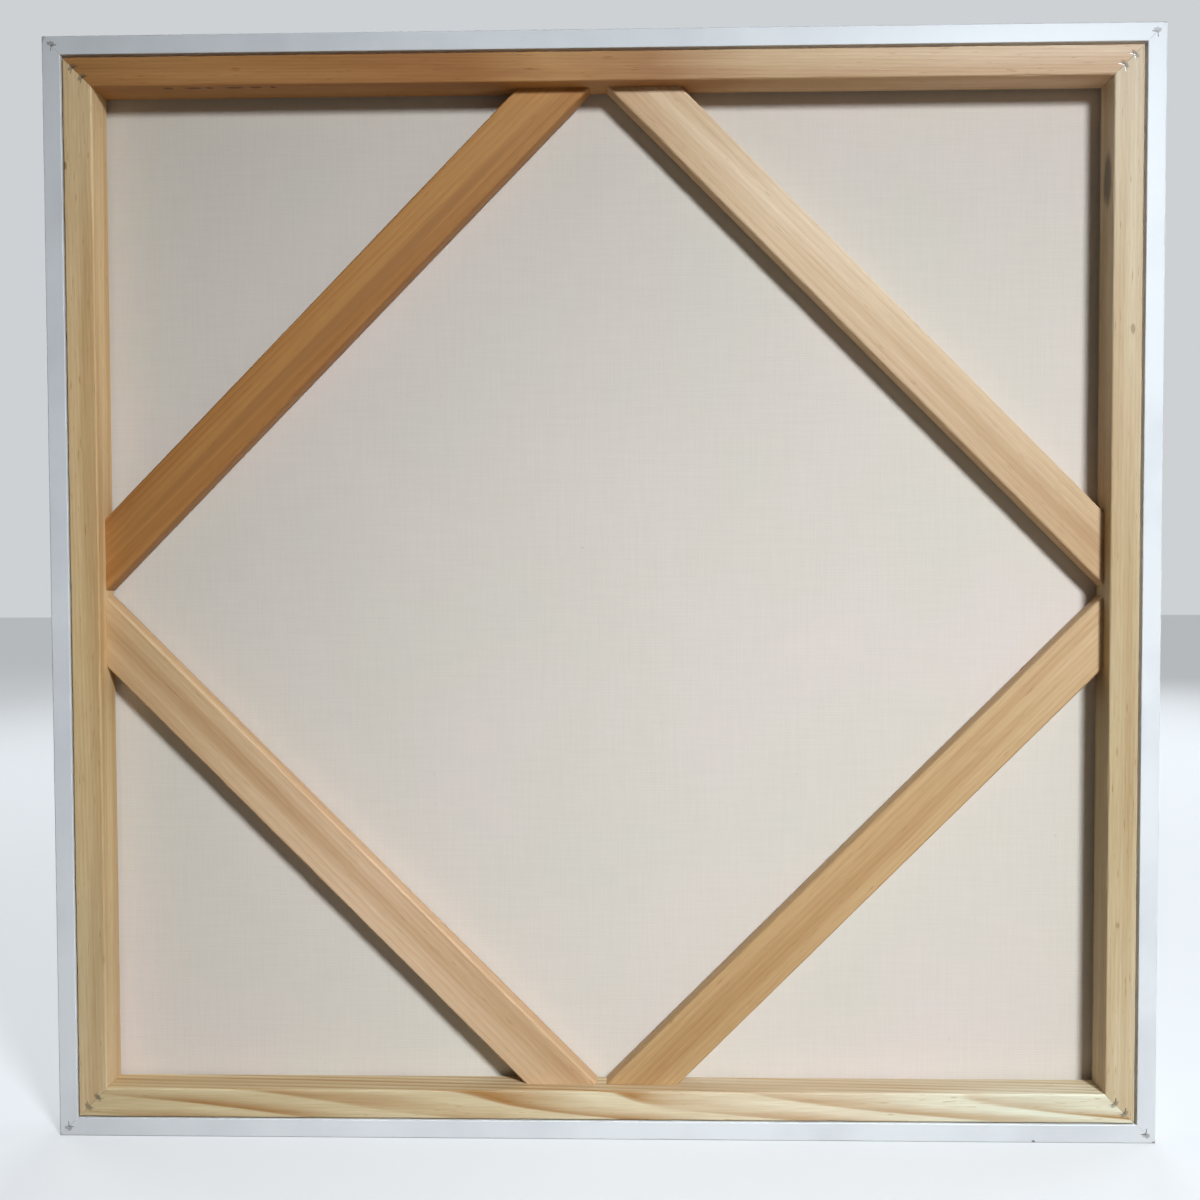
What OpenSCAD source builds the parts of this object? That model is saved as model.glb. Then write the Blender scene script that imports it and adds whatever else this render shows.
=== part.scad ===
// Square stretched canvas on a pine stretcher with a diamond of four flat braces,
// sitting in a white rebated frame. The stretcher's back looks along -Y, the painting
// face along +Y, and +Z is up. The origin is the middle of the footprint, on the ground.

/* [Canvas] */
// Side of the square stretcher, which is the canvas's nominal size
canvas_side = 800; // [500:10:1000]
// Thickness of the primed cotton cloth
cloth_t = 0.5; // [0.4:0.1:0.6]
// Bare wood left between the cloth's cut edge and the stretcher's back
cloth_edge = 5; // [3:1:9]

/* [Stretcher] */
// Width of a bar, seen from the back
bar_w = 22; // [20:1:40]
// Depth of a bar, from its back to the bead that carries the cloth
bar_d = 30; // [28:1:40]
// Width of the flat bead along a bar's outer front edge
bead_w = 4; // [3:1:8]
// How far a bar's front slopes back from the bead, to keep clear of the cloth
bar_slope = 4; // [2:1:5]
// Chamfer on a bar's two back edges
arris = 0.8; // [0.4:0.2:1.6]

/* [Braces] */
// Width of a diagonal brace
brace_w = 39; // [25:1:45]
// Thickness of a diagonal brace
brace_t = 16; // [10:1:16]
// How far the braces lie below the stretcher's back
brace_inset = 12; // [6:1:12]
// Space between the two brace tips at the top bar
gap_top = 13; // [2:1:16]
// Space between the two brace tips at the right bar
gap_right = 8; // [2:1:16]
// Space between the two brace tips at the bottom bar
gap_bottom = 7; // [2:1:16]
// Space between the two brace tips at the left bar
gap_left = 4; // [2:1:16]

/* [Frame] */
// Thickness of the moulding's wall, beside the canvas
wall_t = 13.9; // [9:0.1:20]
// Total play between the stretcher and the rebate, across the frame
play = 3.2; // [3.2:0.1:6]
// How far the canvas sits left of and below the middle of that play
sit = 0.4; // [0:0.1:0.4]
// Width of the front lip that covers the canvas's edge
lip_w = 7.5; // [6:0.5:12]
// Thickness of the front lip
lip_t = 5; // [3:0.5:8]
// Space between the cloth and the back of the lip
lip_gap = 0.5; // [0.3:0.1:2]

/* [Fasteners] */
// Length of a corner V-nail, into the wood
vnail_d = 10; // [7:1:12]
// Distance across the open end of a V-nail in the stretcher
vnail_w = 8; // [6:1:9]
// Thickness of a V-nail's steel
vnail_t = 0.6; // [0.4:0.1:0.8]
// How far a V-nail is driven below the surface
vnail_sink = 0.4; // [0:0.1:1]
// Distance from one staple to the next
staple_step = 60; // [50:5:70]
// Length of a staple's crown
staple_w = 10; // [6:1:12]
// Length of a staple's leg
staple_leg = 8; // [6:1:10]
// Length of a brace nail
nail_l = 35; // [30:1:36]
// Diameter of a brace nail
nail_dia = 2; // [1.4:0.2:2.4]
// Length of a frame pin
pin_l = 25; // [22:1:28]
// Diameter of a frame pin
pin_dia = 1.6; // [1.2:0.2:2]

/* [Hidden] */
$fn = 48;

// Sides and corners are numbered clockwise from the top, as seen from the back:
// side 0 is the top, 1 the right, 2 the bottom and 3 the left, and corner n lies
// between side n and the next.
gap = [gap_top, gap_right, gap_bottom, gap_left];

half = canvas_side / 2;              // centre line to a bar's outer face
half_in = half - bar_w;              // centre line to a bar's inner face
rebate = half + play / 2;            // centre line to the frame's rebate
half_frame = rebate + wall_t;        // centre line to the frame's outside
frame_d = bar_d + cloth_t + lip_gap + lip_t;
back = -frame_d / 2;                 // the shared back plane
front = frame_d / 2;

vnail_rise = 0.3 * vnail_w;          // how far the point of the V leads its legs
frame_vnail_w = 0.45 * wall_t;
wire_w = 1.2;                        // a staple's flat wire
wire_t = 0.5;
staple_y = back + bar_d / 2;
staples_each_way = floor((half - 30) / staple_step);
nail_y = back + brace_inset + brace_t / 2;
nail_steps = [20, 40];               // from a brace's tip to its two nails
pin_y = back + 0.7 * bar_d;
pin_x = (floor(half / 2 / staple_step) + 0.4) * staple_step;
head_t = 1;                          // thickness of a nail's or pin's head
over = 1;                            // how far a cutting shape runs past a face

// ---- places ----

// Turns what is drawn on the top side, or in the top right corner, to side n or corner n
// of the canvas, which has settled in its play.
module canvas_turn(n) {
    translate([-sit, 0, half_frame - sit]) rotate([0, 90 * n, 0]) children();
}

// The same for the frame, which is centred on the origin.
module frame_turn(n) {
    translate([0, 0, half_frame]) rotate([0, 90 * n, 0]) children();
}

// A cross-section of [y, z] points, run along the top side and mitred at both ends.
module mitred(section) {
    intersection() {
        rotate([90, 0, 90]) linear_extrude(4 * half_frame, center = true) polygon(section);
        rotate([90, 0, 0]) linear_extrude(4 * frame_d, center = true)
            polygon([[0, 0], [2 * half_frame, 2 * half_frame], [-2 * half_frame, 2 * half_frame]]);
    }
}

// ---- fasteners, each drawn on the top side or in the top right corner ----

// A bent strip of steel across a mitre, its point towards the outer corner.
// inset is the distance from both outer faces of the corner at outer.
module vnail(outer, inset, w) {
    thick = vnail_t * norm([w / 2, vnail_rise]) / (w / 2);
    translate([outer - inset, back + vnail_sink, outer - inset]) rotate([0, 45, 0])
        rotate([90, 0, 0]) translate([0, 0, -vnail_d]) linear_extrude(vnail_d)
            polygon([[-w / 2, -vnail_rise], [0, 0], [w / 2, -vnail_rise],
                [w / 2, -vnail_rise - thick], [0, -thick], [-w / 2, -vnail_rise - thick]]);
}

// The pocket that a V-nail leaves, open at the back.
module vnail_cut(outer, inset, w) {
    vnail(outer, inset, w);
    translate([0, -vnail_sink - over, 0]) vnail(outer, inset, w);
}

module bar_vnails() {
    for (k = [1, 2]) vnail(half, k * bar_w / 3, vnail_w);
}

module bar_vnail_cuts() {
    for (k = [1, 2]) vnail_cut(half, k * bar_w / 3, vnail_w);
}

// One staple: its crown lies on the cloth, and its legs go through into the bar.
module staple() {
    translate([-staple_w / 2, -wire_w / 2, cloth_t]) cube([staple_w, wire_w, wire_t]);
    for (x = [-staple_w / 2, staple_w / 2 - wire_t])
        translate([x, -wire_w / 2, -staple_leg]) cube([wire_t, wire_w, staple_leg + cloth_t]);
}

module staples() {
    for (i = [-staples_each_way:staples_each_way])
        translate([i * staple_step, staple_y, half]) staple();
}

// A round nail that points down, with its flat head's top at the origin.
module nail(length, dia) {
    translate([0, 0, -head_t]) cylinder(h = head_t, d = 2 * dia);
    translate([0, 0, -length + dia]) cylinder(h = length - dia - head_t, d = dia);
    translate([0, 0, -length]) cylinder(h = dia, d1 = 0.3 * dia, d2 = dia);
}

// Two nails into each of the two braces that meet at side n.
module brace_nails(n) {
    for (side = [-1, 1], step = nail_steps)
        translate([side * (gap[n] / 2 + step), nail_y, half]) nail(nail_l, nail_dia);
}

// Two pins through the frame's wall into the bar.
module frame_pins() {
    for (side = [-1, 1]) translate([side * pin_x, pin_y, half_frame]) nail(pin_l, pin_dia);
}

// The frame's pins as they lie against side n of the canvas.
module pins_at_canvas(n) {
    rotate([0, -90 * n, 0]) translate([sit, 0, sit]) rotate([0, 90 * n, 0]) frame_pins();
}

// ---- wood and cloth ----

// A stretcher bar: mitred, with a bead in front that alone carries the cloth.
module bar(n) {
    difference() {
        mitred([
            [back + arris, half], [back, half - arris],
            [back, half_in + arris], [back + arris, half_in],
            [back + bar_d - bar_slope, half_in],
            [back + bar_d, half - bead_w], [back + bar_d, half]]);
        for (corner = [0, 3]) rotate([0, 90 * corner, 0]) bar_vnail_cuts();
        staples();
        brace_nails(n);
        pins_at_canvas(n);
    }
}

// A brace across corner n, its ends cut to lie flat on the bars' inner faces.
module brace(n) {
    next = (n + 1) % 4;
    end = brace_w * sqrt(2);
    difference() {
        translate([0, back + brace_inset + brace_t, 0]) rotate([90, 0, 0])
            linear_extrude(brace_t)
                polygon([[gap[n] / 2, half_in], [gap[n] / 2 + end, half_in],
                    [half_in, gap[next] / 2 + end], [half_in, gap[next] / 2]]);
        brace_nails(n);
        rotate([0, 90, 0]) brace_nails(next);
    }
}

// The cloth: one sheet over the face, turned down over the four sides.
module cloth() {
    size = canvas_side + 2 * cloth_t;
    depth = bar_d + cloth_t - cloth_edge;
    difference() {
        translate([-size / 2, back + cloth_edge, -size / 2]) cube([size, depth, size]);
        translate([-half, back + cloth_edge - over, -half])
            cube([canvas_side, depth - cloth_t + over, canvas_side]);
        for (n = [0:3]) rotate([0, 90 * n, 0]) {
            staples();
            pins_at_canvas(n);
        }
    }
}

// One side of the frame: a wall with a lip in front, mitred.
module moulding() {
    difference() {
        mitred([
            [back, half_frame], [back, rebate],
            [front - lip_t, rebate], [front - lip_t, rebate - lip_w],
            [front, rebate - lip_w], [front, half_frame]]);
        for (corner = [0, 3]) rotate([0, 90 * corner, 0])
            vnail_cut(half_frame, wall_t / 2, frame_vnail_w);
        frame_pins();
    }
}

// ---- the nodes ----

module stretcher_bar(n) {
    color("burlywood") canvas_turn(n) bar(n);
}

module diagonal_brace(n) {
    color("peru") canvas_turn(n) brace(n);
}

module canvas() {
    color("antiquewhite") canvas_turn(0) cloth();
}

module frame_side(n) {
    color("white") frame_turn(n) moulding();
}

module bar_vnail_pair(n) {
    color("silver") canvas_turn(n) bar_vnails();
}

module frame_vnail(n) {
    color("dimgray") frame_turn(n) vnail(half_frame, wall_t / 2, frame_vnail_w);
}

module staple_row(n) {
    color("lightgray") canvas_turn(n) staples();
}

module brace_nail_set(n) {
    color("gray") canvas_turn(n) brace_nails(n);
}

module frame_pin_pair(n) {
    color("gray") frame_turn(n) frame_pins();
}

stretcher_bar(0);  // bar_top
stretcher_bar(1);  // bar_right
stretcher_bar(2);  // bar_bottom
stretcher_bar(3);  // bar_left
diagonal_brace(0);  // brace_upper_right
diagonal_brace(1);  // brace_lower_right
diagonal_brace(2);  // brace_lower_left
diagonal_brace(3);  // brace_upper_left
canvas();
frame_side(0);  // frame_top
frame_side(1);  // frame_right
frame_side(2);  // frame_bottom
frame_side(3);  // frame_left
bar_vnail_pair(0);  // bar_vnails_top_right
bar_vnail_pair(1);  // bar_vnails_bottom_right
bar_vnail_pair(2);  // bar_vnails_bottom_left
bar_vnail_pair(3);  // bar_vnails_top_left
frame_vnail(0);  // frame_vnail_top_right
frame_vnail(1);  // frame_vnail_bottom_right
frame_vnail(2);  // frame_vnail_bottom_left
frame_vnail(3);  // frame_vnail_top_left
staple_row(0);  // staples_top
staple_row(1);  // staples_right
staple_row(2);  // staples_bottom
staple_row(3);  // staples_left
brace_nail_set(0);  // brace_nails_top
brace_nail_set(1);  // brace_nails_right
brace_nail_set(2);  // brace_nails_bottom
brace_nail_set(3);  // brace_nails_left
frame_pin_pair(0);  // frame_pins_top
frame_pin_pair(1);  // frame_pins_right
frame_pin_pair(2);  // frame_pins_bottom
frame_pin_pair(3);  // frame_pins_left
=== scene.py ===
"""Square stretched canvas, seen from its back: a pine stretcher with a diamond of four
braces, sitting in a white painted frame. Metres; the back looks along -Y, the painting
face along +Y. Sides and corners are numbered clockwise from the top, seen from the back:
side 0 is the top, and corner n lies between side n and the next."""

import math

import bmesh
import bpy
from mathutils import Matrix, Vector, noise


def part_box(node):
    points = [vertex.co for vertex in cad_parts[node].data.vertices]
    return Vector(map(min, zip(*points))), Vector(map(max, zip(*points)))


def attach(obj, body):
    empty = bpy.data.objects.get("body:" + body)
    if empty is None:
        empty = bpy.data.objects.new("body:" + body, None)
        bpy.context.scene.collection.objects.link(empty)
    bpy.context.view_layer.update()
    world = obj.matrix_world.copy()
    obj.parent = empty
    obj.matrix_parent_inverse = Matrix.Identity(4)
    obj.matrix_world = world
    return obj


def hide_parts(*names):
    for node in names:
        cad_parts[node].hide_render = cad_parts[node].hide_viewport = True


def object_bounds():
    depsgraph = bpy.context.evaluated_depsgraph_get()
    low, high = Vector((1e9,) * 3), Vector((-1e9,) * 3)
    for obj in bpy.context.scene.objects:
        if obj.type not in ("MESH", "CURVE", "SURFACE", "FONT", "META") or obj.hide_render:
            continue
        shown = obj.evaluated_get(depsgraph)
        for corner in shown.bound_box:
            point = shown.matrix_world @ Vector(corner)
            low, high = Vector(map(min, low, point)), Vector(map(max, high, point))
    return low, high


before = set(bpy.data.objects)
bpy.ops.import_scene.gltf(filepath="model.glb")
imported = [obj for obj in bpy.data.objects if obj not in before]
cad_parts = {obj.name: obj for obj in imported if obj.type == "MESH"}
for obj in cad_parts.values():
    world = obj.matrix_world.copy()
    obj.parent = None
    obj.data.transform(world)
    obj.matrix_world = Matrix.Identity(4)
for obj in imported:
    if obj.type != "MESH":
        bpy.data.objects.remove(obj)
cad_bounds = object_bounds()

MM = 0.001
SIDES = ("top", "right", "bottom", "left")
CORNERS = ("top_right", "bottom_right", "bottom_left", "top_left")
BODY = "root"

# ---- sizes read from the frame ----

bar_low = [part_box("bar_" + side)[0] for side in SIDES]
bar_high = [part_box("bar_" + side)[1] for side in SIDES]
# CENTRE and FRAME_CENTRE are the middles of the stretcher and of the frame, at y = 0. A
# HALF is a distance from one of them: to the stretcher's outer and inner edge, then to the
# frame's outer edge and to its lip's inner one.
CENTRE = Vector(((bar_low[3].x + bar_high[1].x) / 2, 0, (bar_low[2].z + bar_high[0].z) / 2))
HALF = bar_high[1].x - CENTRE.x
HALF_IN = bar_low[1].x - CENTRE.x
BACK = bar_low[0].y
BEAD = bar_high[0].y
frame_low, frame_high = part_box("frame_top")
FRAME_CENTRE = Vector((0, 0, (cad_bounds[0].z + cad_bounds[1].z) / 2))
HALF_FRAME = cad_bounds[1].x
HALF_LIP = frame_low.z - FRAME_CENTRE.z
FRONT = frame_high.y
# The cloth's outer face, on the side of the stretcher and on its front.
CLOTH_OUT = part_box("canvas")[1].x - CENTRE.x
CLOTH_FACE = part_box("canvas")[1].y

# The depth at which the frame's pins and the brace nails lie.
pins_low, pins_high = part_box("frame_pins_top")
nails_low, nails_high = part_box("brace_nails_top")
PIN_Y = (pins_low.y + pins_high.y) / 2
NAIL_Y = (nails_low.y + nails_high.y) / 2

# ---- sizes of the details that only this script draws ----

JOINT = 0.12 * MM          # half of the hairline left at a mitre
FRAME_JOINT = 0.8 * JOINT
ARC_STEPS = 4              # pieces of a rounded edge's arc
ARRIS = 1.1 * MM           # radius of a bar's eased back edges
BEAD_ARRIS = 0.8 * MM      # of the edge that the cloth turns over
SLOPE_ARRIS = 0.5 * MM     # and of the two edges of a bar's sloping front
BRACE_ARRIS = 1.6 * MM
FRAME_ARRIS = 0.9 * MM     # radius of the frame's outer edges
LIP_ARRIS = 0.5 * MM       # of its inner edges
REBATE_ARRIS = 0.3 * MM    # and of the rebate's hollow corner
BRACE_WIDTH = 39 * MM
BEAD_WIDTH = 4 * MM        # the bead that carries the cloth
BAR_SLOPE = 4 * MM         # how far a bar's front falls away behind the bead
LIP_WIDTH = 7.5 * MM
LIP_THICK = 5 * MM
BAR_STATIONS = 96          # cross-sections along a bar or a moulding, less one
BRACE_STATIONS = 64
SHARP = math.radians(32)   # shading breaks at an edge that turns by more
FLAT_AREA = 12 * MM * MM   # a face over this size is a planed flat
BAR_WEAR = 0.7 * MM        # depth of the deepest dents in an edge
BRACE_WEAR = 0.5 * MM
FRAME_WEAR = 0.35 * MM
DENTS = 37                 # how many dents lie along an edge
SMALL_DENTS = 140
VNAIL_RISE = 2 * MM        # how far a pocket's cutting shape stands out of the back
CLOTH = 0.45 * MM          # the cloth's thickness
FOLD_RADIUS = 1.2 * MM     # the cloth's turn over the bead
FOLD_LAYER = 0.35 * MM     # thickness of each extra layer at a folded corner
CUT_EDGE = 5 * MM          # bare wood between the cloth's edge and the back
FACE_STEPS = 46            # the cloth's grid: from its middle to the bead,
TURN_STEPS = 4             # over the bead,
SIDE_STEPS = 8             # and down the side
SCALLOP = 0.12 * MM        # how far the cloth pulls in at a staple
SCALLOP_REACH = 28 * MM    # and how far that shows from the edge
STAPLE_STEP = 60 * MM
STAPLE_WIDTH = 10 * MM
STAPLE_LEG = 8 * MM
STAPLE_WIRE = 1.2 * MM     # width of a staple's flat wire
STAPLE_THICK = 0.5 * MM
STAPLES_EACH_WAY = 6       # besides the one in the middle of a side
ROUND = 16                 # how many flats stand for a nail's round
NAIL_LENGTH = 35 * MM
NAIL_STEP = 20 * MM
NAIL_RADIUS = 1 * MM
NAIL_SINK = 0.3 * MM       # the brace nails are driven just below the wood's surface
PIN_LENGTH = 24 * MM
PIN_RADIUS = 0.8 * MM
PIN_SINK = 1 * MM          # the frame's pins are punched in, filled and painted over
DIMPLE = 0.3 * MM          # depth of the hollow that the filler left
DIMPLE_RADIUS = 2.2 * MM

# A frame pin lies PIN_X from the middle of its side: its head is twice as wide as it is.
PIN_X = pins_high.x - 2 * PIN_RADIUS

# ---- sizes of the patterns in the materials ----

FIBRE = 0.8 * MM           # a fibre is 0.05 mm wide in the tree; it is drawn wider, to show
DUCT = 1.3 * MM            # so is a resin duct, which is 0.2 mm wide
THREAD = 1.3 * MM          # and the cotton's threads, which lie 0.45 mm apart
RING_STRETCH = 14          # how much longer than wide each of these is drawn
FIBRE_STRETCH = 32
DUCT_STRETCH = 12
SLUB_STRETCH = 22
BRUSH_STRETCH = 40


# ---- mesh work ----

def turned(n, centre):
    """Carries what is drawn on the top side, or in the top right corner, to side n."""
    return Matrix.Translation(centre) @ Matrix.Rotation(n * math.pi / 2, 4, "Y")


def smooth(mesh):
    """Soft shading that breaks at sharp edges. Large faces, and those square to an axis,
    stay flat."""
    mesh.set_sharp_from_angle(angle=SHARP)
    for polygon in mesh.polygons:
        square = max(abs(part) for part in polygon.normal) > 0.9999
        polygon.use_smooth = polygon.area < FLAT_AREA and not square


def placed(name, mesh):
    """The mesh, camera or lamp as an object of the scene."""
    obj = bpy.data.objects.new(name, mesh)
    bpy.context.scene.collection.objects.link(obj)
    return obj


def from_bmesh(name, bm, matrix=None):
    """The finished bmesh as an object at the origin, its faces pointing outwards."""
    if matrix is not None:
        bm.transform(matrix)
    bmesh.ops.recalc_face_normals(bm, faces=bm.faces)
    mesh = bpy.data.meshes.new(name)
    bm.to_mesh(mesh)
    bm.free()
    smooth(mesh)
    return placed(name, mesh)


def plain(obj):
    """Applies obj's modifiers: the evaluated shape becomes its mesh."""
    graph = bpy.context.evaluated_depsgraph_get()
    mesh = bpy.data.meshes.new_from_object(obj.evaluated_get(graph))
    obj.modifiers.clear()
    obj.data = mesh
    mesh.name = obj.name
    return obj


def rounded(points, radii):
    """A closed outline whose corners are turned into arcs. Gives points and a flag for
    each that says whether it lies inside an arc, where wear may dent it."""
    outline = []
    for i, corner in enumerate(points):
        here = Vector(corner)
        before = (Vector(points[i - 1]) - here).normalized()
        after = (Vector(points[(i + 1) % len(points)]) - here).normalized()
        if radii[i] == 0:
            outline.append((here, False))
            continue
        half = before.angle(after) / 2
        reach = radii[i] / math.tan(half)
        middle = (before + after).normalized() * (radii[i] / math.sin(half))
        start = before * reach - middle
        turn = start.angle_signed(after * reach - middle)
        for k in range(ARC_STEPS + 1):
            arm = Matrix.Rotation(-turn * k / ARC_STEPS, 2) @ start
            outline.append((here + middle + arm, 0 < k < ARC_STEPS))
    return outline


def swept(name, outline, start, end, stations, matrix, wear, seed):
    """A length of wood or moulding. outline is a cross-section of (y, w) points; start(w)
    and end(w) give the (x, z) at which the line through w begins and ends, so that the
    cuts may slant. wear dents the arcs of the section by about that much, and the seed
    says where."""
    bm = bmesh.new()
    middle = sum((p for p, arc in outline), Vector((0, 0))) / len(outline)
    rings = []
    for k in range(stations + 1):
        s = k / stations
        ring = []
        for i, (point, arc) in enumerate(outline):
            at = point.copy()
            if arc:
                # Each edge reads the noise at its own places.
                edge = i // (ARC_STEPS + 1)
                dent = noise.noise((s * DENTS + seed, edge * 7.3, seed * 1.7))
                small = noise.noise((s * SMALL_DENTS + seed, edge * 3.1, 9.2))
                at += (middle - at).normalized() * wear * max(0, dent + 0.4 * small)
            a = Vector(start(at.y))
            b = Vector(end(at.y))
            x, z = a.lerp(b, s)
            ring.append(bm.verts.new((x, at.x, z)))
        rings.append(ring)
    count = len(outline)
    for before, after in zip(rings, rings[1:]):
        for i in range(count):
            j = (i + 1) % count
            bm.faces.new((before[i], before[j], after[j], after[i]))
    bm.faces.new(rings[0])
    bm.faces.new(rings[-1])
    return from_bmesh(name, bm, matrix)


def cut(piece, cutters):
    """Takes the cutting shapes out of the piece."""
    for cutter in cutters:
        step = piece.modifiers.new("cut", "BOOLEAN")
        step.operation = "DIFFERENCE"
        step.solver = "EXACT"
        step.object = cutter
    plain(piece)
    smooth(piece.data)


def pocket_shape(node):
    """A cutting shape for a V-nail's pocket: the nail, drawn out through the back."""
    bm = bmesh.new()
    bm.from_mesh(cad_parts[node].data)
    bmesh.ops.remove_doubles(bm, verts=bm.verts, dist=0.001 * MM)
    head = min(v.co.y for v in bm.verts)
    for v in bm.verts:
        if v.co.y < head + 0.1 * MM:
            v.co.y -= VNAIL_RISE
    return from_bmesh("pocket_of_" + node, bm)


# ---- materials ----

FACTOR, A, B = 0, 6, 7     # a colour Mix node's inputs
MIXED = 2                  # and its output
WAVE = 0.314159            # a Wave texture's Scale for stripes one metre apart


def linear(colour):
    """An sRGB hex colour as linear RGBA."""
    parts = [int(colour[i:i + 2], 16) / 255 for i in (1, 3, 5)]
    return [p / 12.92 if p <= 0.04045 else ((p + 0.055) / 1.055) ** 2.4 for p in parts] + [1]


def feed(tree, node, inputs):
    """Gives sockets of the node, by name or number, a value or the socket that feeds them."""
    for key, source in dict(inputs).items():
        if isinstance(source, bpy.types.NodeSocket):
            tree.links.new(source, node.inputs[key])
        else:
            node.inputs[key].default_value = source


def add(tree, kind, inputs=(), **settings):
    """Adds one node."""
    made = tree.nodes.new(kind)
    for key, setting in settings.items():
        setattr(made, key, setting)
    feed(tree, made, inputs)
    return made


def mixed(tree, share, under, over, way="MIX"):
    """The colour under, with a share of the colour over laid on it."""
    return add(tree, "ShaderNodeMix", {FACTOR: share, A: under, B: over},
               data_type="RGBA", blend_type=way).outputs[MIXED]


def sums(tree, operation, *values):
    """One step of arithmetic."""
    return add(tree, "ShaderNodeMath", enumerate(values), operation=operation).outputs[0]


def rescaled(tree, value, low, high, new_low, new_high):
    """The value, carried from the range low to high to another range and kept inside it."""
    return add(tree, "ShaderNodeMapRange", {
        "Value": value, "From Min": low, "From Max": high, "To Min": new_low,
        "To Max": new_high}).outputs[0]


def ramp(tree, value, stops):
    """The value as a colour: stops are places and their colours, or shares of white."""
    made = add(tree, "ShaderNodeValToRGB", {"Fac": value})
    elements = made.color_ramp.elements
    for i, (place, colour) in enumerate(stops):
        stop = elements[i] if i < 2 else elements.new(place)
        stop.position = place
        stop.color = linear(colour) if isinstance(colour, str) else [colour] * 3 + [1]
    return made.outputs[0]


def clouds(tree, place, size, detail, roughness=0.5):
    """Soft random spots of about that size, in metres."""
    return add(tree, "ShaderNodeTexNoise", {
        "Vector": place, "Scale": 1 / size, "Detail": detail,
        "Roughness": roughness}).outputs[0]


def stretched(tree, place, ways):
    """Coordinates in which a pattern is drawn out by so much along x, y and z."""
    return add(tree, "ShaderNodeMapping", {"Vector": place, "Scale": ways},
               vector_type="TEXTURE").outputs[0]


def relief(tree, height, strength, depth):
    """Small bumps and hollows of that depth."""
    return add(tree, "ShaderNodeBump", {
        "Height": height, "Strength": strength, "Distance": depth}).outputs[0]


def surface(name):
    """A new material, its tree, its coordinates and its shader."""
    material = bpy.data.materials.new(name)
    material.use_nodes = True
    tree = material.node_tree
    shader = tree.nodes["Principled BSDF"]
    place = add(tree, "ShaderNodeTexCoord").outputs["Object"]
    return material, tree, place, shader


def mark_and_shade_mask(tree, place, centre, size, turn, ragged):
    """A mask for one stain, knot or patch of painted shade: 1 in its middle, 0 outside, with a
    ragged edge.
    size is its half-widths along x, y and z before it is turned about y."""
    local = add(tree, "ShaderNodeMapping", {
        "Vector": place, "Location": centre, "Scale": size, "Rotation": (0, turn, 0)},
        vector_type="TEXTURE").outputs[0]
    far = add(tree, "ShaderNodeVectorMath", {0: local}, operation="LENGTH").outputs["Value"]
    # The edge's notches are about three quarters of the mark's half-width.
    rag = add(tree, "ShaderNodeTexNoise", {"Vector": local, "Scale": 1.3, "Detail": 3}).outputs[0]
    edge = sums(tree, "MULTIPLY_ADD", rag, ragged, far)
    return add(tree, "ShaderNodeMapRange", {
        "Value": edge, "From Min": 0.5 + ragged / 2, "From Max": 1 + ragged / 2,
        "To Min": 1, "To Max": 0}, interpolation_type="SMOOTHSTEP").outputs[0]


def marked(tree, place, colour, marks, ragged):
    """The colour with the marks laid on. Each has its centre, half-widths, turn about y,
    its stain or painted shade colour, and the most of it that shows."""
    for centre, size, turn, stain_and_shade, most in marks:
        share = sums(tree, "MULTIPLY", mark_and_shade_mask(tree, place, centre, size, turn, ragged), most)
        colour = mixed(tree, share, colour, linear(stain_and_shade))
    return colour


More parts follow.
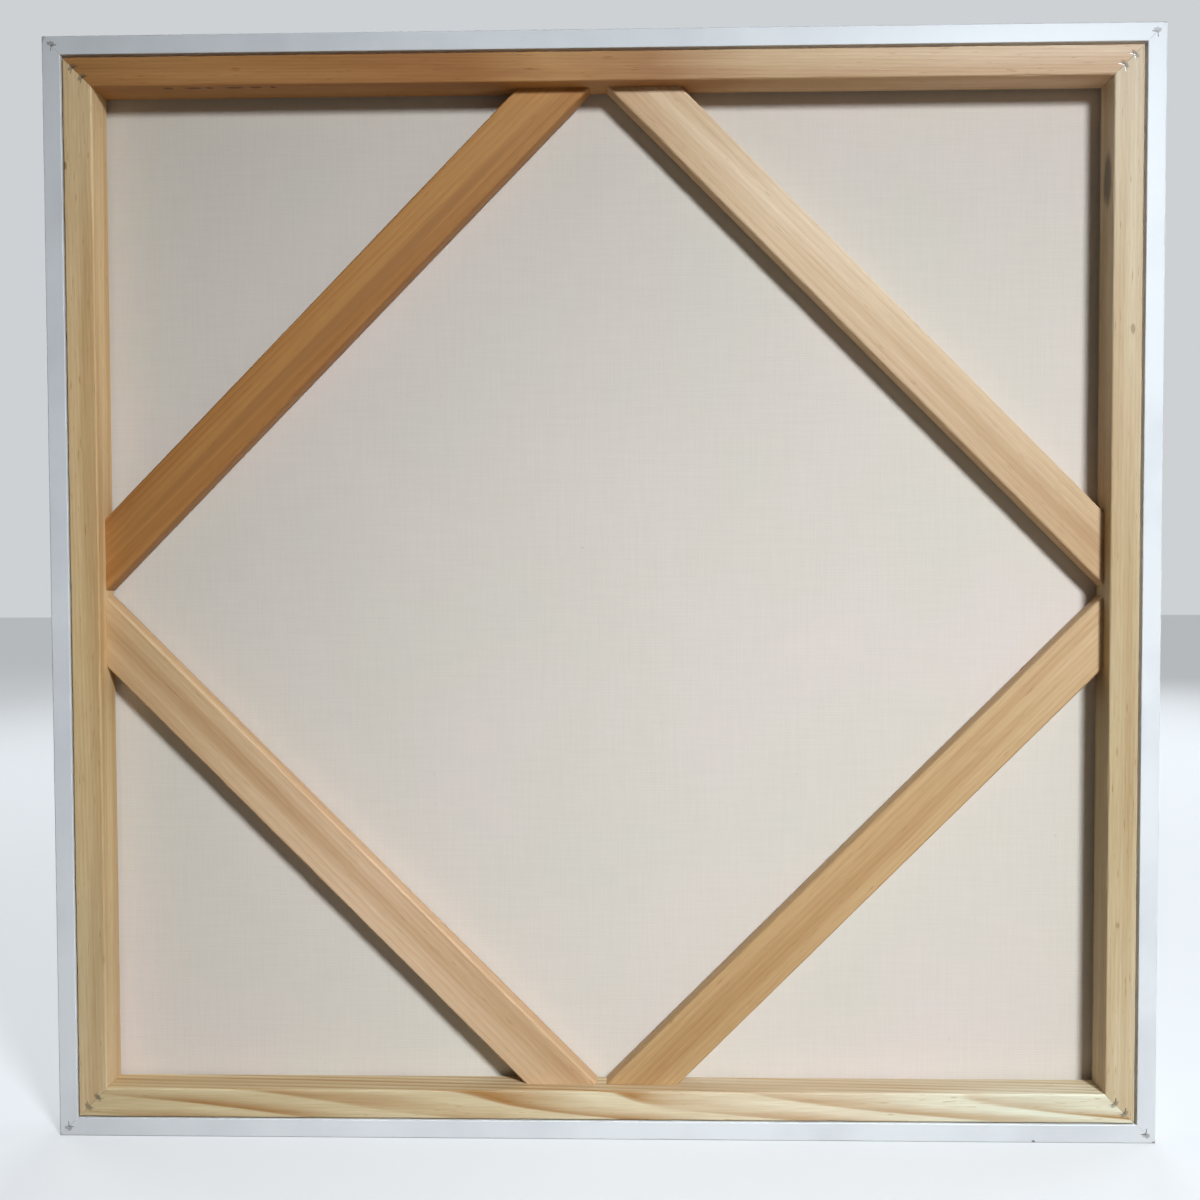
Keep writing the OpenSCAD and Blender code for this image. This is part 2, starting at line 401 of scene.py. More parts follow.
def wood(name, centre, turn, span, tones, late, pith, lean, ring, strength, warp, marks, seed):
    """Planed softwood: a pale satin ground with soft bands, a brown line where each year's
    growth ends, fine fibres and short resin dashes. centre and turn, about y, place the
    piece's own axes: x along it, y into its depth and z across it. tones are its colours
    along span, its length; late tints the lines, strength sets how dark they are, ring is
    their spacing and warp how much they wave. pith is where the tree's middle lies from
    the piece's, and lean turns the grain a few degrees across and into the piece."""
    material, tree, place, shader = surface(name)
    axes = Matrix.Rotation(turn, 3, "Y")
    across, inward = (math.radians(angle) for angle in lean)
    grain = axes @ Matrix.Rotation(inward, 3, "Z") @ Matrix.Rotation(across, 3, "Y")

    def local(offset, rotation, scale):
        """The piece's own coordinates, from offset, each divided by its scale."""
        return add(tree, "ShaderNodeMapping", {
            "Vector": place, "Location": centre + axes @ Vector(offset),
            "Rotation": rotation.to_euler("XYZ"), "Scale": scale},
            vector_type="TEXTURE").outputs[0]

    from_pith = local((0, *pith), grain, (RING_STRETCH, 1, 1))
    streaks = local((seed, 0, 0), axes, (FIBRE_STRETCH, 1, 1))
    dashes = local((seed, 0, 0), axes, (DUCT_STRETCH, 1, 1))
    along = add(tree, "ShaderNodeSeparateXYZ", {
        0: local((-span / 2, 0, 0), axes, (span, 1, 1))}).outputs["X"]
    # Broad soft bands, 10 to 20 mm wide, where the wood holds more or less resin.
    band = clouds(tree, streaks, 15 * MM, 1.5)
    colour = ramp(tree, sums(tree, "MULTIPLY_ADD", band, 0.1, along), tones)
    # Growth rings: each darkens slowly to its latewood and then breaks off sharply, and
    # some years are stronger than others.
    rings = add(tree, "ShaderNodeTexWave", {
        "Vector": from_pith, "Scale": WAVE / ring, "Distortion": warp, "Detail": 2.5,
        "Detail Scale": 0.32, "Detail Roughness": 0.45}, wave_type="RINGS",
        rings_direction="X", wave_profile="SAW").outputs["Fac"]
    growth = ramp(tree, rings, [(0.25, 0.0), (0.88, 1.0), (0.94, 0.85), (1.0, 0.0)])
    year = clouds(tree, from_pith, 2.4 * ring, 1)
    year = rescaled(tree, year, 0.35, 0.68, 0.25 * strength, strength)
    latewood = mixed(tree, 1, colour, linear(late), "MULTIPLY")
    colour = mixed(tree, sums(tree, "MULTIPLY", growth, year), colour, latewood)
    fibre = clouds(tree, streaks, FIBRE, 3, 0.6)
    duct = clouds(tree, dashes, DUCT, 1)
    tints = (
        (band, [(0.36, "#EADFD2"), (0.62, "#FFFFFF")]),
        (fibre, [(0.3, "#EFE9E2"), (0.68, "#FFFFFF")]),
        (duct, [(0.7, "#FFFFFF"), (0.8, "#DFCDB6")]))
    for pattern, stops in tints:
        colour = mixed(tree, 1, colour, ramp(tree, pattern, stops), "MULTIPLY")
    colour = marked(tree, place, colour, marks, 0.5)
    height = sums(tree, "MULTIPLY_ADD", fibre, 0.5, growth)
    feed(tree, shader, {
        "Base Color": colour, "Roughness": rescaled(tree, fibre, 0, 1, 0.5, 0.72),
        "Normal": relief(tree, height, 0.3, 0.1 * MM), "IOR": 1.5})
    return material


def cotton(name, tones, flecks, depth, finish):
    """Plain-woven cotton duck: fine threads both ways, some of them thicker, and a few seed
    flecks. depth is how far the weave stands out; finish is the rest of its shader."""
    material, tree, place, shader = surface(name)
    over = [
        add(tree, "ShaderNodeTexWave", {
            "Vector": place, "Scale": WAVE / THREAD, "Distortion": 0.9, "Detail": 1,
            "Detail Scale": 0.6}, wave_type="BANDS", bands_direction=way).outputs["Fac"]
        for way in "XZ"]
    crossing = sums(tree, "MULTIPLY", *over)
    # Slubs: threads that run thicker for a few centimetres, along each way of the weave.
    slubs = [
        clouds(tree, stretched(tree, place, ways), 1.4 * MM, 2)
        for ways in ((SLUB_STRETCH, 1, 1), (1, 1, SLUB_STRETCH))]
    slub = sums(tree, "ADD", *slubs)
    # Warm and grey clouds, as size and primer strike through the cloth.
    colour = ramp(tree, clouds(tree, place, 142.9 * MM, 4), tones)
    fleck = rescaled(tree, clouds(tree, place, 4 * MM, 2), 0.74, 0.8, 0, 0.35)
    colour = mixed(tree, fleck, colour, linear(flecks))
    for tint in (rescaled(tree, slub, 0.7, 1.3, 0.975, 1.015),
                 rescaled(tree, crossing, 0, 1, 0.982, 1.01)):
        colour = mixed(tree, 1, colour, tint, "MULTIPLY")
    height = sums(tree, "MULTIPLY_ADD", slub, 0.8, crossing)
    feed(tree, shader, {"Base Color": colour, "Normal": relief(tree, height, 0.4, depth)})
    feed(tree, shader, finish)
    return material


def raw_cotton():
    """Unprimed back of the cloth: matt, warm grey-beige, with a soft fuzz at its edge."""
    return cotton(
        "unbleached cotton duck, plain woven",
        [(0.3, "#DAD3C5"), (0.5, "#DDD3C6"), (0.7, "#E0D3C9")], "#9C8B74", 0.15 * MM,
        {"Roughness": 0.92, "Sheen Weight": 0.15, "Sheen Roughness": 0.5})


def primed_cotton():
    """The painting face: a white skin of primer, through which the weave still stands."""
    return cotton(
        "acrylic primer, brushed on cotton duck",
        [(0.3, "#ECEAE4"), (0.6, "#F1F0EB")], "#DEDBD2", 0.12 * MM, {"Roughness": 0.62})


def white_paint(name, marks):
    """Satin paint brushed on a wooden moulding. It is smooth and slightly glossy, with
    faint brush lines along each length, and grime and chips at the corners."""
    material, tree, place, shader = surface(name)
    lines = [
        clouds(tree, stretched(tree, place, ways), 1.2 * MM, 3)
        for ways in ((BRUSH_STRETCH, 1, 1), (1, 1, BRUSH_STRETCH))]
    coat = clouds(tree, place, 71.4 * MM, 5)
    colour = ramp(tree, coat, [(0.32, "#DCDEDF"), (0.6, "#E8EAEA")])
    speck = rescaled(tree, clouds(tree, place, 2.2 * MM, 4, 0.7), 0.68, 0.78, 0, 0.5)
    colour = mixed(tree, speck, colour, linear("#A9A59C"))
    colour = marked(tree, place, colour, marks, 1.6)
    feed(tree, shader, {
        "Base Color": colour, "Roughness": rescaled(tree, coat, 0, 1, 0.34, 0.52),
        "Normal": relief(tree, sums(tree, "ADD", *lines), 0.3, 0.08 * MM)})
    return material


def plated_steel(name, bright, dull, rough):
    """Zinc-plated steel strip or wire, punched and drawn: a cloudy grey metal, dull in some
    patches and bright in others."""
    material, tree, place, shader = surface(name)
    bloom = clouds(tree, place, 2 * MM, 4)
    feed(tree, shader, {
        "Base Color": ramp(tree, bloom, [(0.35, dull), (0.6, bright)]),
        "Roughness": rescaled(tree, bloom, 0, 1, rough + 0.15, rough - 0.1),
        "Metallic": 1, "Normal": relief(tree, bloom, 0.3, 0.05 * MM)})
    return material


# ---- the stretcher ----

def on_back(x, z, y=BACK):
    """A point of the stretcher, from its middle, on its back face unless y is given."""
    return CENTRE + Vector((x, y, z))


def bar_outline():
    """Section of a bar: (y, distance from the middle), its back edges eased."""
    return rounded([
        (BACK, HALF), (BACK, HALF_IN),
        (BEAD - BAR_SLOPE, HALF_IN), (BEAD, HALF - BEAD_WIDTH), (BEAD, HALF)],
        [ARRIS, ARRIS, SLOPE_ARRIS, SLOPE_ARRIS, BEAD_ARRIS])


BAR_MIDDLE = (HALF + HALF_IN) / 2

BAR_WOOD = (
    # Honey brown over its left half, then paling to cream at its right end.
    dict(name="red pine, planed, dark at one end",
         tones=[(0.0, "#B88147"), (0.15, "#C59156"), (0.42, "#BD864A"), (0.5, "#D2A267"),
                (0.6, "#BB8956"), (0.7, "#DCBC91"), (1.0, "#F0D4B3")],
         late="#D9B896", strength=0.35, ring=2.1 * MM, pith=(30 * MM, -55 * MM),
         lean=(0.6, 0.4), warp=4),
    # Even straw yellow, with narrow faint lines.
    dict(name="pine, planed, straight grained",
         tones=[(0.0, "#F3E4C8"), (0.2, "#E4D3B2"), (0.5, "#D7C39C"), (0.75, "#CFBC93"),
                (1.0, "#DDCBA7")],
         late="#E0C6A2", strength=0.28, ring=2.6 * MM, pith=(25 * MM, -70 * MM),
         lean=(0.4, -0.3), warp=3),
    # Cream, with bold brown flames where the cut runs out across the rings.
    dict(name="pine, planed across the rings",
         tones=[(0.0, "#F6F0D2"), (0.15, "#F6F6DE"), (0.35, "#F6EACD"), (0.6, "#F2E7C4"),
                (1.0, "#E6D4A8")],
         late="#C69A66", strength=1.0, ring=5.4 * MM, pith=(27 * MM, -15 * MM),
         lean=(0.7, 2.2), warp=8),
    # Warm yellow, palest at its top end, with narrow faint lines.
    dict(name="pine, planed, yellowed",
         tones=[(0.0, "#E8CFA7"), (0.2, "#D8C094"), (0.5, "#E2C491"), (0.75, "#EBCB98"),
                (1.0, "#F5D7A6")],
         late="#E0C49C", strength=0.3, ring=2.4 * MM, pith=(30 * MM, 60 * MM),
         lean=(-0.5, 0.4), warp=3),
)

# The bars' marks: their centre, half-widths, turn, stain or painted shade colour, and the most of
# it that shows.
# The top bar has a row of dark flecks on its inner edge, the right one a grey smudge, two knots
# and painted shade on its inner face, the bottom one a darker brown wash on its inner face, the
# left one a knot.
KNOT = "#7A5330"
SMUDGE = "#4A4A3C"
FLECKS = ((-322, 5), (-303, 8), (-291, 4), (-272, 9), (-256, 6), (-243, 3))
BAR_MARKS = (
    [(on_back(x * MM, HALF_IN, BACK + 5 * MM), (reach * MM, 2.4 * MM, 2 * MM), 0, "#4E321B", 0.65)
     for x, reach in FLECKS],
    [(on_back(HALF_IN, 305 * MM, BACK + 12 * MM), (2 * MM, 9 * MM, 24 * MM), 0, SMUDGE, 0.8),
     (on_back(HALF_IN + 15 * MM, 193 * MM), (2.2 * MM, 3 * MM, 5 * MM), 0, KNOT, 0.5),
     (on_back(HALF_IN + 8 * MM, -250 * MM), (2 * MM, 3 * MM, 3 * MM), 0, KNOT, 0.35),
     # Painted shade: a darker brown wash over the right bar's inner face, which looks away from the
     # key lamp.
     (on_back(HALF_IN, 0, BACK + 12 * MM), (1.2 * MM, 30 * MM, 520 * MM), 0, "#7A6140", 0.3)],
    # A darker brown wash over the bottom bar's inner face.
    [(on_back(0, -HALF_IN, BACK + 12 * MM), (520 * MM, 30 * MM, 1.2 * MM), 0, "#9A7646", 0.4)],
    [(on_back(-HALF + 1 * MM, 320 * MM), (2 * MM, 3 * MM, 4 * MM), 0, "#6A4A2A", 0.6)],
)


def bruises():
    """The marks of the grey bruises around the two V-nails of every corner."""
    marks = []
    for right, up in ((1, 1), (1, -1), (-1, -1), (-1, 1)):
        for k in (1, 2):
            out = HALF - k * (HALF - HALF_IN) / 3
            marks.append((
                on_back(right * out, up * out), (4.6 * MM, 2.5 * MM, 2.2 * MM),
                right * up * math.pi / 4, "#6B5F52", 0.6))
    return marks


def nearby(marks, n):
    """Those of the marks that lie on side n."""
    to_top = turned(n, CENTRE).inverted()
    return [mark for mark in marks if (to_top @ mark[0]).z > HALF_IN]


def make_bar(n):
    """One mitred bar of the stretcher, its V-nails' pockets cut into its ends."""
    side = SIDES[n]
    nails = ["bar_vnails_" + CORNERS[n - 1], "bar_vnails_" + CORNERS[n]]
    piece = swept(
        "stretcher_bar_" + side, bar_outline(),
        lambda w: (-(w - JOINT), w), lambda w: (w - JOINT, w),
        BAR_STATIONS, turned(n, CENTRE), BAR_WEAR, seed=n + 1)
    cut(piece, [pockets[name] for name in nails])
    piece.data.materials.append(wood(
        centre=turned(n, CENTRE) @ Vector((0, (BACK + BEAD) / 2, BAR_MIDDLE)),
        turn=n * math.pi / 2, span=2 * HALF, seed=n * 0.7,
        marks=BAR_MARKS[n] + nearby(bruises(), n), **BAR_WOOD[n]))
    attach(piece, BODY)
    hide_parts("bar_" + side)


# ---- the braces ----

BRACES = ("brace_upper_right", "brace_lower_right", "brace_lower_left", "brace_upper_left")
BRACE_WOOD = (
    # Pale sand, browner towards its lower end.
    dict(name="fir, planed, pale",
         tones=[(0.0, "#E5C59D"), (0.35, "#F4DDBC"), (0.6, "#E7CDA9"), (1.0, "#D4B48A")],
         late="#E2C6A6", strength=0.3, ring=3.2 * MM, pith=(30 * MM, 40 * MM),
         lean=(0.5, 0.4), warp=3),
    # Light tan, browner towards the bottom bar.
    dict(name="fir, planed, tan",
         tones=[(0.0, "#DFC399"), (0.5, "#D4B281"), (1.0, "#CBA876")],
         late="#DDBC98", strength=0.32, ring=3.0 * MM, pith=(35 * MM, -45 * MM),
         lean=(-0.4, 0.5), warp=3),
    # Tan with a rosy cast, palest in its middle.
    dict(name="fir, planed, rosy",
         tones=[(0.0, "#D1B087"), (0.5, "#E6C6A2"), (1.0, "#D7B587")],
         late="#E0C0A0", strength=0.32, ring=3.4 * MM, pith=(28 * MM, 42 * MM),
         lean=(0.5, -0.4), warp=3),
    # Reddish brown, the darkest of the four, with one long streak that is darker still.
    dict(name="fir, planed, dark streaked",
         tones=[(0.0, "#B68041"), (0.5, "#BE8848"), (1.0, "#C79251")],
         late="#D8B084", strength=0.4, ring=3.6 * MM, pith=(24 * MM, -34 * MM),
         lean=(0.7, 0.3), warp=3),
)


def make_brace(n):
    """A flat board across corner n, its ends lying on the bars' inner faces."""
    name = BRACES[n]
    low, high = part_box(name)
    turn = Matrix.Rotation(-n * math.pi / 2, 3, "Y")
    near, far = (turn @ (corner - CENTRE) for corner in (low, high))
    # How near its two inner tips come to the middle of their sides.
    tip = Vector((min(near.x, far.x), min(near.z, far.z)))
    slant = math.sqrt(2)
    outline = rounded(
        [(low.y, 0), (high.y, 0), (high.y, BRACE_WIDTH), (low.y, BRACE_WIDTH)], [BRACE_ARRIS] * 4)
    reach = HALF_IN - JOINT
    piece = swept(
        "diagonal_" + name, outline,
        lambda w: (tip.x + w * slant, reach), lambda w: (reach, tip.y + w * slant),
        BRACE_STATIONS, turned(n, CENTRE), BRACE_WEAR, seed=n + 11)
    middle = (HALF_IN + tip.x) / 2 + BRACE_WIDTH / slant / 2
    askew = n * math.pi / 2 + math.pi / 4
    marks = []
    if BRACES[n] == "brace_upper_left":
        dark = turned(n, CENTRE) @ Vector((middle - 2 * MM, low.y, middle - 2 * MM))
        marks = [(dark, (300 * MM, 14 * MM, 6 * MM), askew, "#A06B36", 0.75)]
    piece.data.materials.append(wood(
        centre=turned(n, CENTRE) @ Vector((middle, (low.y + high.y) / 2, middle)),
        turn=askew, span=HALF_IN * slant, seed=n * 0.9 + 3, marks=marks, **BRACE_WOOD[n]))
    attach(piece, BODY)
    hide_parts(name)


# ---- the canvas ----

SIDE_DEPTH = CLOTH_FACE - (BACK + CUT_EDGE)


def sheet_steps():
    """Where the cloth's grid lines lie, from the middle of the sheet to its edge."""
    face = HALF - FOLD_RADIUS
    turn = FOLD_RADIUS * math.pi / 2
    side = SIDE_DEPTH - FOLD_RADIUS
    return (
        [face * k / FACE_STEPS for k in range(FACE_STEPS + 1)]
        + [face + turn * k / TURN_STEPS for k in range(1, TURN_STEPS + 1)]
        + [face + turn + side * k / SIDE_STEPS for k in range(1, SIDE_STEPS + 1)])


def over_edge(run):
    """Where a run of cloth from the middle lies: its distance out, and how far down."""
    flat = CLOTH_OUT - FOLD_RADIUS
    if run <= flat:
        return run, 0
    angle = (run - flat) / FOLD_RADIUS
    if angle <= math.pi / 2:
        return flat + FOLD_RADIUS * math.sin(angle), FOLD_RADIUS * (1 - math.cos(angle))
    return CLOTH_OUT, FOLD_RADIUS + run - flat - FOLD_RADIUS * math.pi / 2


def cloth_point(p, q):
    """The place of the flat sheet's point (p, q) once it is stretched and folded."""
    across, drop_x = over_edge(abs(p))
    up, drop_z = over_edge(abs(q))
    sign_x = math.copysign(1, p)
    sign_z = math.copysign(1, q)
    if drop_x <= FOLD_RADIUS or drop_z <= FOLD_RADIUS:
        y = CLOTH_FACE - max(drop_x, drop_z)
        # Between staples the cloth pulls in a little less, which leaves faint scallops.
        for run, other in ((p, q), (q, p)):
            edge = max(0, 1 - (HALF - abs(other)) / SCALLOP_REACH)
            if edge > 0 and max(drop_x, drop_z) == 0:
                y -= SCALLOP * edge * (1 - math.cos(2 * math.pi * run / STAPLE_STEP)) / 2
        return Vector((sign_x * across, y, sign_z * up))
    # The corner's square is folded on its diagonal and laid flat against the top or the
    # bottom, two more layers thick.
    layers = 1 if drop_x < drop_z else 2
    return Vector((
        sign_x * (CLOTH_OUT - min(drop_x, drop_z)), CLOTH_FACE - max(drop_x, drop_z),
        sign_z * (CLOTH_OUT + layers * FOLD_LAYER)))


def make_canvas():
    """The cloth, stretched over the bars' beads and turned down their sides."""
    runs = sheet_steps()
    lines = [-r for r in reversed(runs[1:])] + runs
    bm = bmesh.new()
    grid = [[bm.verts.new(CENTRE + cloth_point(p, q)) for q in lines] for p in lines]
    for left, right in zip(grid, grid[1:]):
        for i in range(len(lines) - 1):
            bm.faces.new((left[i], left[i + 1], right[i + 1], right[i]))
    bm.normal_update()
    mesh = bpy.data.meshes.new("canvas_cloth")
    bm.to_mesh(mesh)
    bm.free()
    for polygon in mesh.polygons:
        polygon.use_smooth = True
    piece = placed("canvas_cloth", mesh)
    mesh.materials.append(primed_cotton())
    mesh.materials.append(raw_cotton())
    middle = mesh.polygons[len(mesh.polygons) // 2]
    if middle.normal.y < 0:
        mesh.flip_normals()
    skin = piece.modifiers.new("thickness", "SOLIDIFY")
    skin.thickness = CLOTH
    skin.offset = -1
    skin.material_offset = 1
    skin.material_offset_rim = 1
    plain(piece)
    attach(piece, BODY)
    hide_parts("canvas")


# ---- the frame ----

# Knocks at the frame's corners: right and up, half-widths in mm, stain, the most of it
# that shows.
KNOCKS = (
    (1, 1, (5, 3, 2.5), "#8A7A6B", 0.75),
    (1, -1, (3, 3, 2.5), "#7C5A50", 0.8),
    (-1, -1, (3, 3, 4), "#A7A29E", 0.5),
    (-1, 1, (4, 3, 6), "#A09A94", 0.5))
GRIME = [
    (FRAME_CENTRE + Vector((right * HALF_FRAME, BACK, up * HALF_FRAME)),
     [MM * half for half in reach], 0, stain_and_shade, most)
    for right, up, reach, stain_and_shade, most in KNOCKS]
# Grey smudges over the V-nails, and one dark speck on the bottom moulding.
GRIME += [
    (FRAME_CENTRE + Vector((right * (HALF_FRAME - 7 * MM), BACK, up * (HALF_FRAME - 6 * MM))),
     (3.6 * MM, 3 * MM, 2.6 * MM), 0, "#9C9894", 0.75)
    for right, up, *rest in KNOCKS]
GRIME.append((
    FRAME_CENTRE + Vector((HALF_FRAME - 91 * MM, BACK, MM - HALF_FRAME)),
    (1.6 * MM, 3 * MM, 1.4 * MM), 0, "#4A443C", 0.8))


def dimples(n):
    """Cutting shapes for the two shallow hollows over side n's pins."""
    radius = (DIMPLE_RADIUS ** 2 + DIMPLE ** 2) / (2 * DIMPLE)
    shapes = []
    for x in (-PIN_X, PIN_X):
        bm = bmesh.new()
        place = Matrix.Translation((x, PIN_Y, HALF_FRAME - DIMPLE + radius))
        bmesh.ops.create_icosphere(bm, subdivisions=5, radius=radius, matrix=place)
        bmesh.ops.delete(bm, geom=[v for v in bm.verts if v.co.z > HALF_FRAME + DIMPLE],
                         context="VERTS")
        bmesh.ops.holes_fill(bm, edges=bm.edges)
        shapes.append(from_bmesh("dimple", bm, turned(n, FRAME_CENTRE)))
    return shapes


def make_frame_side(n):
    """One side of the frame: a wall with a lip in front of the canvas's edge."""
    side = SIDES[n]
    rebate = HALF_LIP + LIP_WIDTH
    outline = rounded([
        (BACK, HALF_FRAME), (BACK, rebate), (FRONT - LIP_THICK, rebate),
        (FRONT - LIP_THICK, HALF_LIP), (FRONT, HALF_LIP), (FRONT, HALF_FRAME)],
        [FRAME_ARRIS, LIP_ARRIS, REBATE_ARRIS, LIP_ARRIS, FRAME_ARRIS, FRAME_ARRIS])
    piece = swept(
        "frame_moulding_" + side, outline,
        lambda w: (-(w - FRAME_JOINT), w), lambda w: (w - FRAME_JOINT, w),
        BAR_STATIONS, turned(n, FRAME_CENTRE), FRAME_WEAR, seed=n + 21)
    nails = ["frame_vnail_" + CORNERS[n - 1], "frame_vnail_" + CORNERS[n]]
    hollows = dimples(n)
    cut(piece, [pockets[name] for name in nails] + hollows)
    for hollow in hollows:
        bpy.data.objects.remove(hollow)
    piece.data.materials.append(paint)
    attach(piece, BODY)
    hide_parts("frame_" + side)


pockets = {name: pocket_shape(name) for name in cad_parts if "vnail" in name}
paint = white_paint("satin white paint, brushed on wood", GRIME)
for n in range(len(SIDES)):
    make_bar(n)
for n in range(len(SIDES)):
    make_brace(n)
make_canvas()
for n in range(len(SIDES)):
    make_frame_side(n)
for shape in pockets.values():
    bpy.data.objects.remove(shape)

# ---- fasteners ----

def nail_start(n):
    """Distance from the middle of side n to the nearer nail of each of its two braces."""
    low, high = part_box("brace_nails_" + SIDES[n])
    along = max(high.x - low.x, high.z - low.z)
    return along / 2 - 2 * NAIL_RADIUS - NAIL_STEP


def lathe(name, profile):
    """A solid of revolution about z from a profile of (radius, z) points, top to tip."""
    bm = bmesh.new()
    rings = []
    for radius, z in profile:
        if radius == 0:
            rings.append([bm.verts.new((0, 0, z))] * ROUND)
            continue
        turns = [2 * math.pi * k / ROUND for k in range(ROUND)]
        rings.append([bm.verts.new((radius * math.cos(a), radius * math.sin(a), z)) for a in turns])
    for upper, lower in zip(rings, rings[1:]):
        for k in range(ROUND):
            j = (k + 1) % ROUND
            corners = dict.fromkeys((upper[k], upper[j], lower[j], lower[k]))
            bm.faces.new(list(corners))
    return from_bmesh(name, bm)


def nail_shape(name, length, radius):
    """A round wire nail that points down: a flat head, a shank and a cut point."""
    head = 2 * radius
    return lathe(name, [
        (0, 0), (0.85 * head, 0), (head, -0.2 * radius), (head, -0.7 * radius),
        (1.1 * radius, -radius), (radius, -1.4 * radius), (radius, 2.2 * radius - length),
        (0.3 * radius, -0.15 * radius - length), (0, -length)])


def staple_shape():
    """A staple of flat wire: its crown lies on z = 0, and its legs end in chisel points."""
    outer = STAPLE_WIDTH / 2
    inner = outer - STAPLE_THICK
    outline = rounded([
        (-outer, STAPLE_THICK), (outer, STAPLE_THICK), (outer, -STAPLE_LEG),
        (inner, -STAPLE_LEG + MM), (inner, 0), (-inner, 0), (-inner, -STAPLE_LEG + MM),
        (-outer, -STAPLE_LEG)],
        [0.6 * MM, 0.6 * MM, 0, 0, 0.2 * MM, 0.2 * MM, 0, 0])
    bm = bmesh.new()
    face = bm.faces.new([bm.verts.new((p.x, -STAPLE_WIRE / 2, p.y)) for p, arc in outline])
    grown = bmesh.ops.extrude_face_region(bm, geom=[face])["geom"]
    bmesh.ops.translate(bm, vec=(0, STAPLE_WIRE, 0),
                        verts=[v for v in grown if isinstance(v, bmesh.types.BMVert)])
    return from_bmesh("staple_shape", bm)


def row_tree():
    """Geometry nodes that set copies of a shape in a row, mirrored about the middle of a
    side: the first at Start, then one every Step. Each is twisted a little, as if by hand."""
    tree = bpy.data.node_groups.new("mirrored row of fasteners", "GeometryNodeTree")
    tree.is_modifier = True
    tree.interface.new_socket("Geometry", in_out="OUTPUT", socket_type="NodeSocketGeometry")
    sockets = (("Shape", "Object"), ("Start", "Float"), ("Step", "Float"), ("Count", "Int"),
               ("Depth", "Float"), ("Height", "Float"), ("Twist", "Float"), ("Seed", "Int"),
               ("Metal", "Material"))
    for name, kind in sockets:
        tree.interface.new_socket(name, in_out="INPUT", socket_type="NodeSocket" + kind)
    given = tree.nodes.new("NodeGroupInput").outputs
    start = add(tree, "ShaderNodeCombineXYZ", {
        "X": given["Start"], "Y": given["Depth"], "Z": given["Height"]}).outputs[0]
    step = add(tree, "ShaderNodeCombineXYZ", {"X": given["Step"]}).outputs[0]
    line = add(tree, "GeometryNodeMeshLine", {
        "Count": given["Count"], "Start Location": start, "Offset": step}).outputs[0]
    other = add(tree, "GeometryNodeTransform", {"Geometry": line, "Scale": (-1, 1, 1)}).outputs[0]
    both = tree.nodes.new("GeometryNodeJoinGeometry")
    tree.links.new(line, both.inputs[0])
    tree.links.new(other, both.inputs[0])
    spots = add(tree, "GeometryNodeMergeByDistance", {
        "Geometry": both.outputs[0], "Distance": MM}).outputs[0]
    less = sums(tree, "MULTIPLY", given["Twist"], -1.0)
    low = add(tree, "ShaderNodeCombineXYZ", {"Z": less}).outputs[0]
    high = add(tree, "ShaderNodeCombineXYZ", {"Z": given["Twist"]}).outputs[0]
    twist = add(tree, "FunctionNodeRandomValue", {
        0: low, 1: high, "Seed": given["Seed"]}, data_type="FLOAT_VECTOR").outputs[0]
    shape = add(tree, "GeometryNodeObjectInfo", {"Object": given["Shape"]}).outputs["Geometry"]
    copies = add(tree, "GeometryNodeInstanceOnPoints", {
        "Points": spots, "Instance": shape, "Rotation": twist}).outputs[0]
    solid = add(tree, "GeometryNodeRealizeInstances", {"Geometry": copies}).outputs[0]
    coated = add(tree, "GeometryNodeSetMaterial", {
        "Geometry": solid, "Material": given["Metal"]}).outputs[0]
    add(tree, "NodeGroupOutput", {0: coated})
    return tree


def row(name, n, centre, node, **sizes):
    """One side's row of fasteners, carried to side n, in place of the CAD node."""
    piece = placed(name, bpy.data.meshes.new(name))
    nodes = piece.modifiers.new("row", "NODES")
    nodes.node_group = fastener_row
    for item in fastener_row.interface.items_tree:
        if item.in_out == "INPUT":
            nodes[item.identifier] = sizes[item.name]
    plain(piece)
    piece.data.transform(turned(n, centre))
    smooth(piece.data)
    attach(piece, BODY)
    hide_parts(node)


fastener_row = row_tree()
bright_zinc = plated_steel("zinc-plated steel, punched strip", "#B9BABA", "#77756F", 0.38)
dull_zinc = plated_steel("zinc-plated steel, dulled", "#86847E", "#4C4A46", 0.5)
nail = nail_shape("nail_shape", NAIL_LENGTH, NAIL_RADIUS)
pin = nail_shape("pin_shape", PIN_LENGTH, PIN_RADIUS)
staple = staple_shape()
for n, side in enumerate(SIDES):
    row("staples_along_" + side, n, CENTRE, "staples_" + side, Shape=staple, Start=0.0,
        Step=STAPLE_STEP, Count=STAPLES_EACH_WAY + 1, Depth=(BACK + BEAD) / 2,
        Height=CLOTH_OUT, Twist=math.radians(2.5), Seed=n, Metal=bright_zinc)
    row("nails_into_braces_" + side, n, CENTRE, "brace_nails_" + side, Shape=nail,
        Start=nail_start(n), Step=NAIL_STEP, Count=2, Depth=NAIL_Y,
        Height=HALF - NAIL_SINK, Twist=0.0, Seed=n, Metal=bright_zinc)
    row("pins_through_frame_" + side, n, FRAME_CENTRE, "frame_pins_" + side, Shape=pin,
        Start=PIN_X, Step=0.0, Count=1, Depth=PIN_Y, Height=HALF_FRAME - PIN_SINK,
        Twist=0.0, Seed=n, Metal=bright_zinc)
for shape in (nail, pin, staple):
    bpy.data.objects.remove(shape)
for name, node_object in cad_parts.items():
    if "vnail" in name:
        metal = dull_zinc if name.startswith("frame") else bright_zinc
        node_object.data.materials.clear()
        node_object.data.materials.append(metal)

# ---- stage, camera and light ----

DAYLIGHT = (0.862, 0.925, 1.0)

# Where the camera stands, how it is turned about x, y and z in degrees, and its lens, in
# mm for a picture 36 mm wide.
CAMERA_PLACE = (0.0195, -0.9150, 0.4368)
CAMERA_TURN = (88.255, 0.185, 1.262)
LENS = 36

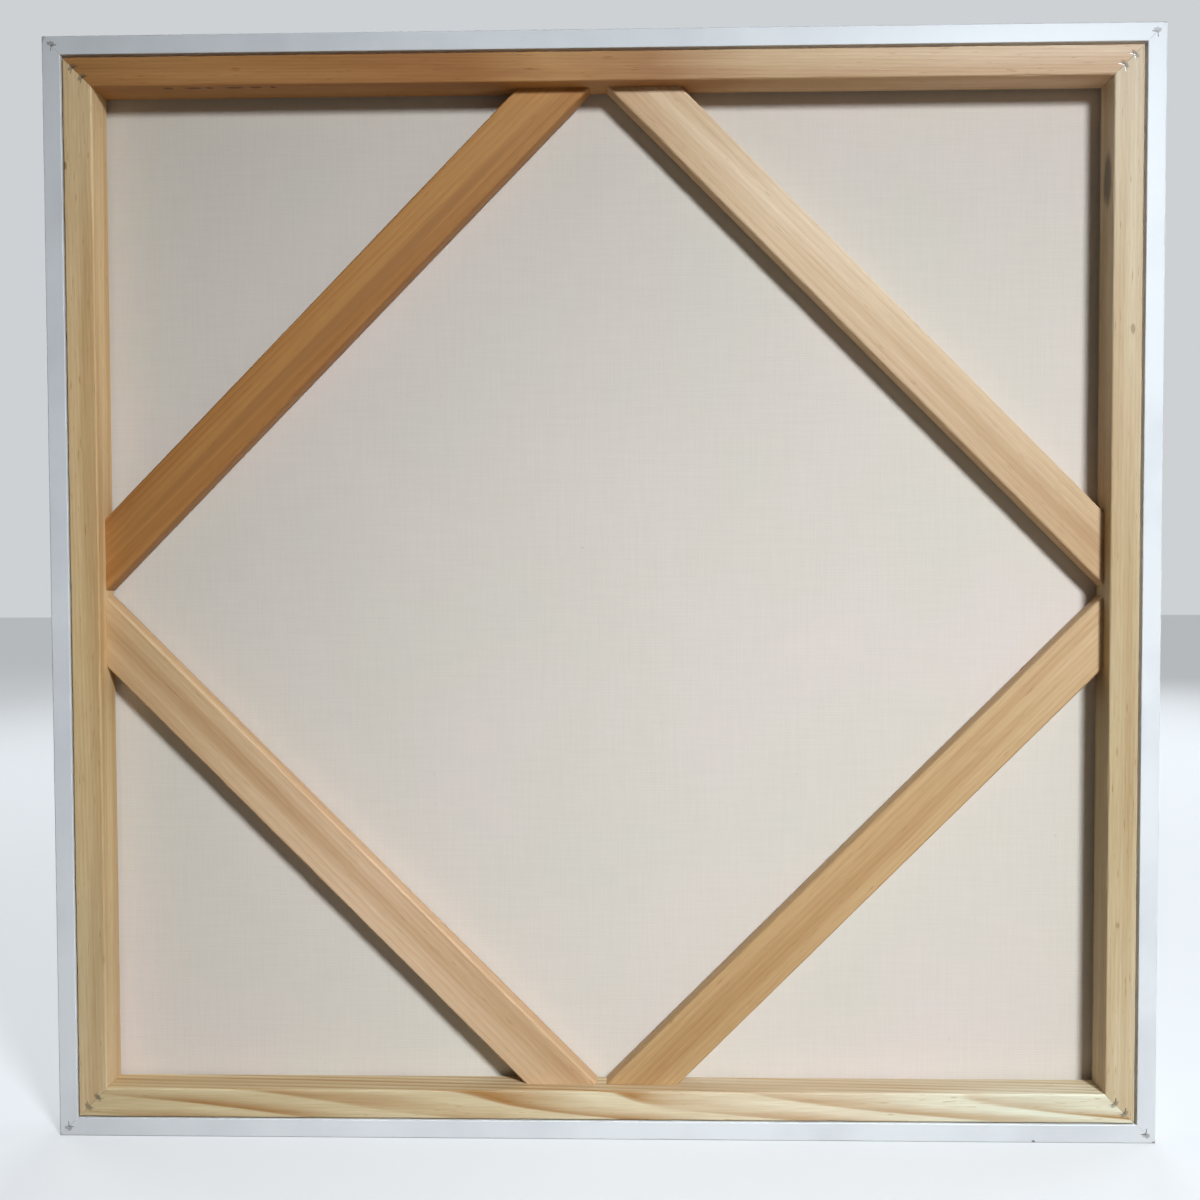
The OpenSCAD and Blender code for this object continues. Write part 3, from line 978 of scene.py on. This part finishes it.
# Each lamp's place, its target, the width of its disk, its watts and its spread in
# degrees. The key is the narrow beam that shades the stretcher's inside; the three front
# lamps only reach the painting face, the frame's sides and the floor before them.
LAMPS = {
    "key": ((0.84, -1.6, 1.33), (-0.1, 0, -0.28), 0.37, 13, 84),
    "fill": ((-0.6, -2.2, 0.8), (0, 0, 0.3), 2.6, 0.5, 180),
    "front_left": ((-2.3, 1.5, 1.5), (0, 0, 0.4), 1.6, 26, 180),
    "front_right": ((2.3, 1.3, 1.6), (0, 0, 0.4), 1.6, 32, 180),
    "front": ((0.5, 3.2, 1.7), (0, 0, 0.4), 2.4, 80, 180),
}


def lit_and_seen(tree, lit, seen):
    """The colour seen in the camera's view, and the colour lit that lights the room."""
    ray = add(tree, "ShaderNodeLightPath").outputs["Is Camera Ray"]
    return mixed(tree, ray, lit, seen)


def make_stage():
    """A wide pale floor. It throws back less light than it shows, so that the shadows
    inside the stretcher stay deep."""
    bm = bmesh.new()
    bmesh.ops.create_grid(bm, x_segments=2, y_segments=2, size=9)
    floor = from_bmesh("studio_floor", bm)
    material, tree, place, shader = surface("matt studio paper")
    feed(tree, shader, {
        "Base Color": lit_and_seen(tree, linear("#8A8072"), linear("#A2A3A3")),
        "Emission Color": lit_and_seen(tree, (0, 0, 0, 1), linear("#B4B7B9")),
        "Emission Strength": 1, "Roughness": 0.9})
    floor.data.materials.append(material)


def make_world():
    """A pale studio round the object, which lights it only a little."""
    world = bpy.data.worlds.new("studio")
    world.use_nodes = True
    tree = world.node_tree
    faint = [0.02 * part for part in DAYLIGHT] + [1]
    feed(tree, tree.nodes["Background"], {
        "Color": lit_and_seen(tree, faint, linear("#CDD1D4"))})
    bpy.context.scene.world = world


def make_camera():
    lens = bpy.data.cameras.new("camera")
    lens.lens = LENS
    lens.sensor_width = 36
    camera = placed("camera", lens)
    camera.location = CAMERA_PLACE
    camera.rotation_euler = [math.radians(angle) for angle in CAMERA_TURN]
    bpy.context.scene.camera = camera


def make_lamp(name, place, target, width, power, spread):
    lamp = bpy.data.lights.new(name, "AREA")
    lamp.shape = "DISK"
    lamp.size = width
    lamp.energy = power
    lamp.spread = math.radians(spread)
    lamp.color = DAYLIGHT
    light = placed(name, lamp)
    light.location = place
    aim = Vector(target) - Vector(place)
    light.rotation_euler = aim.to_track_quat("-Z", "Y").to_euler()
    light.visible_camera = False


make_stage()
make_camera()
for name, settings in LAMPS.items():
    make_lamp(name, *settings)
make_world()
bpy.context.scene.view_settings.view_transform = "Standard"
